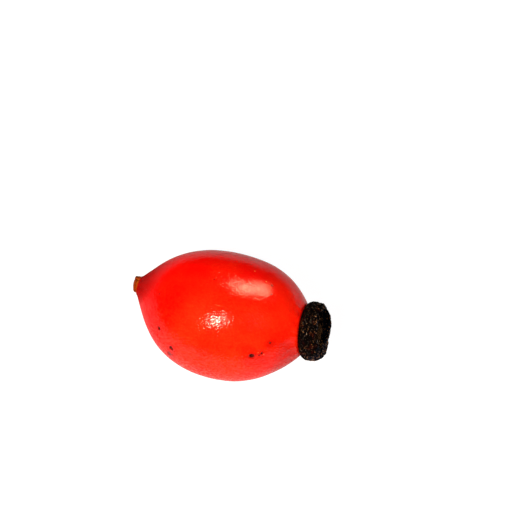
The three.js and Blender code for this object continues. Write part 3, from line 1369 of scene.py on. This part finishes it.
        # Red: browner towards the tips. Green: painted shade low down in the styles' cushion.
        paint(bm, self.WEAR_AND_SHADE, lambda vert: (rise(vert.co.x, 1.6, 2.3), 1 - rise(vert.co.x, 0.9, 1.7), 0))
        return bm

    def build(self, place: Matrix) -> list[bpy.types.Object]:
        """Makes every piece of the dried flower and puts it on the fruit.

        Args:
            place: takes the hip's frame to the row's.

        Returns:
            The pieces.
        """
        calyx = DryTissue("dried rose calyx")
        threads = DryTissue(
            "withered rose stamens",
            # Painted shade low down in the cup.
            hollow="#1c120b",
            body="#4a3220",
            crest="#94693c",
            tinge="#4a2413",
            grain=0.1,
            resin=Fade(0.55, 0.62, 0.0, 0.1),
        )
        here = place @ self.frame()
        pieces = [make_piece(self.make_cup(), "calyx_cup_dried", ["calyx_cup"], calyx, here)]
        for index in range(len(self.sepal_reaches)):
            name, stub = f"sepal_dried_{index + 1}", f"sepal_stub_{index + 1}"
            sepal = make_piece(self.make_sepal(index), name, [stub], calyx, here)
            rounding = sepal.modifiers.new("rounding", "SUBSURF")
            rounding.levels = rounding.render_levels = self.sepal_rounding
            pieces.append(sepal)
        inside = (
            (self.make_stamens, "stamens_withered", "stamen_ring"),
            (self.make_styles, "styles_matted", "style_knob"),
        )
        for make, name, node in inside:
            pieces.append(make_piece(make(), name, [node], threads, here))
        return pieces


# ---- The studio ----


def direction(azimuth: float, elevation: float) -> Vector:
    """The direction from the hip towards something, where azimuth 0 is the -Y side.

    Args:
        azimuth: degrees round the hip.
        elevation: degrees above the floor.

    Returns:
        The direction with a length of 1.
    """
    across, up = math.radians(azimuth), math.radians(elevation)
    return Vector((math.sin(across) * math.cos(up), -math.cos(across) * math.cos(up), math.sin(up)))


@dataclass(frozen=True)
class Lamp:
    """One soft lamp: which way it is from the hip, and its size, power and colour."""

    name: str
    azimuth: float
    elevation: float
    away: float  # metres
    width: float  # metres
    height: float  # metres
    power: float  # watts
    colour: str
    roll: float = 0.0  # degrees that it is turned in its own plane
    rounded: bool = False
    shades: bool = True  # whether it lights what is dull
    shines: bool = True  # whether it is seen in what is glossy

    def build(self, middle: Vector) -> None:
        """Hangs the lamp and points it at the hip.

        Args:
            middle: the hip's middle.
        """
        light = bpy.data.lights.new(self.name, "AREA")
        light.shape = "ELLIPSE" if self.rounded else "RECTANGLE"
        light.size = self.width
        light.size_y = self.height
        light.energy = self.power
        light.color = linear(self.colour)[:3]
        lamp = add_object(self.name, light)
        back = direction(self.azimuth, self.elevation)
        lamp.location = middle + back * self.away
        lamp.visible_diffuse = self.shades
        lamp.visible_glossy = self.shines
        turn = Quaternion((0, 0, 1), math.radians(self.roll))
        lamp.rotation_euler = (back.to_track_quat("Z", "Y") @ turn).to_euler()


@dataclass
class Studio:
    """The white floor, the lamps, the light from around, and the camera."""

    camera_azimuth: float = 19.0
    camera_elevation: float = 65.0
    camera_away: float = 0.25  # metres
    scale: float = 69.632 * MM  # metres across the view at the hip
    sensor: float = 36.0  # mm
    aim_right: float = 3.87 * MM  # the hip lies left of the view's middle
    aim_up: float = 8.24 * MM  # and below it
    table_radius: float = 0.078
    floor_size: float = 6.0
    floor_drop: float = 0.0003
    nearest: float = 0.01  # metres: the camera sees nothing closer
    backdrop: str = "#fdfdfd"
    room: str = "#1c1c1c"
    lamps: tuple[Lamp, ...] = (
        Lamp("key", -13, 53, 0.35, 0.012, 0.07, 0.9, "#ffecd0", rounded=True),
        Lamp("key glow", -13, 53, 0.36, 0.035, 0.18, 0.95, "#ffe2c0", rounded=True),
        Lamp("key spill", -13, 53, 0.37, 0.1, 0.1, 0.75, "#fff8ee", rounded=True, shines=False),
        Lamp("fill", 65, 50, 0.4, 0.2, 0.2, 0.35, "#ffffff", shines=False),
        Lamp("window", 168, 45, 0.43, 0.31, 0.17, 0.2, "#ffffff", roll=42),
        Lamp("window glare", 168, 45, 0.42, 0.31, 0.17, 5.2, "#ffd6a8", roll=42, shades=False),
    )

    def build_floor(self) -> None:
        """Lays the glowing table top, and the same white far beyond it, which the skin doesn't mirror."""
        glow = LightTable("light table top").material()
        for name, mirrored in (("table_top", True), ("floor_beyond", False)):
            bm = bmesh.new()
            if mirrored:
                bmesh.ops.create_circle(bm, cap_ends=True, segments=96, radius=self.table_radius)
            else:
                bmesh.ops.create_grid(bm, x_segments=1, y_segments=1, size=self.floor_size / 2)
                bmesh.ops.translate(bm, verts=bm.verts[:], vec=(0, 0, -self.floor_drop))
            floor = add_mesh(bm, name, glow)
            floor.visible_glossy = mirrored
            floor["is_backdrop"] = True

    def build_surroundings(self) -> None:
        """Makes the surroundings: a white backdrop to look at, and a dim room that lights the hip."""
        world = bpy.data.worlds.new("surroundings")
        world.use_nodes = True
        tree = world.node_tree
        tree.nodes.clear()
        seen = add_node(tree, "ShaderNodeLightPath").outputs["Is Camera Ray"]
        shade = Finish.tint(tree, linear(self.room), ((seen, self.backdrop),))
        glow = {"Color": shade, "Strength": 1.0}
        background = add_node(tree, "ShaderNodeBackground", {}, glow).outputs[0]
        add_node(tree, "ShaderNodeOutputWorld", {}, {"Surface": background})
        bpy.context.scene.world = world

    def build_camera(self, middle: Vector) -> None:
        """Sets up the camera, looking down on the hip.

        Args:
            middle: the hip's middle.
        """
        back = direction(self.camera_azimuth, self.camera_elevation)
        turn = back.to_track_quat("Z", "Y")
        aim = middle + turn @ Vector((self.aim_right, self.aim_up, 0))
        data = bpy.data.cameras.new("camera")
        data.sensor_width = self.sensor
        data.lens = self.sensor * self.camera_away / self.scale
        data.clip_start = self.nearest
        camera = add_object("camera", data)
        camera.location = aim + back * self.camera_away
        camera.rotation_euler = turn.to_euler()
        bpy.context.scene.camera = camera

    def build(self, low: Vector, high: Vector) -> None:
        """Builds the whole studio round the hip.

        Args:
            low: the lowest corner of the hip's box.
            high: its highest corner.
        """
        middle = (low + high) / 2
        self.build_floor()
        self.build_surroundings()
        self.build_camera(middle)
        for lamp in self.lamps:
            lamp.build(middle)
        bpy.context.scene.view_settings.view_transform = "Standard"


def main() -> None:
    """Builds the studio, the fruit and the dried flower, and notes the sizes."""
    logging.basicConfig(level=logging.INFO, format="%(name)s: %(message)s")
    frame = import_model()
    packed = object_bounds()
    Studio().build(*packed)
    flower = DriedFlower()
    place, pieces = Fruit().build(flower.frame())
    pieces += flower.build(place)
    log.info("%d pieces for %d packed nodes", len(pieces), len(frame["nodes"]))


if __name__ == "__main__":
    main()
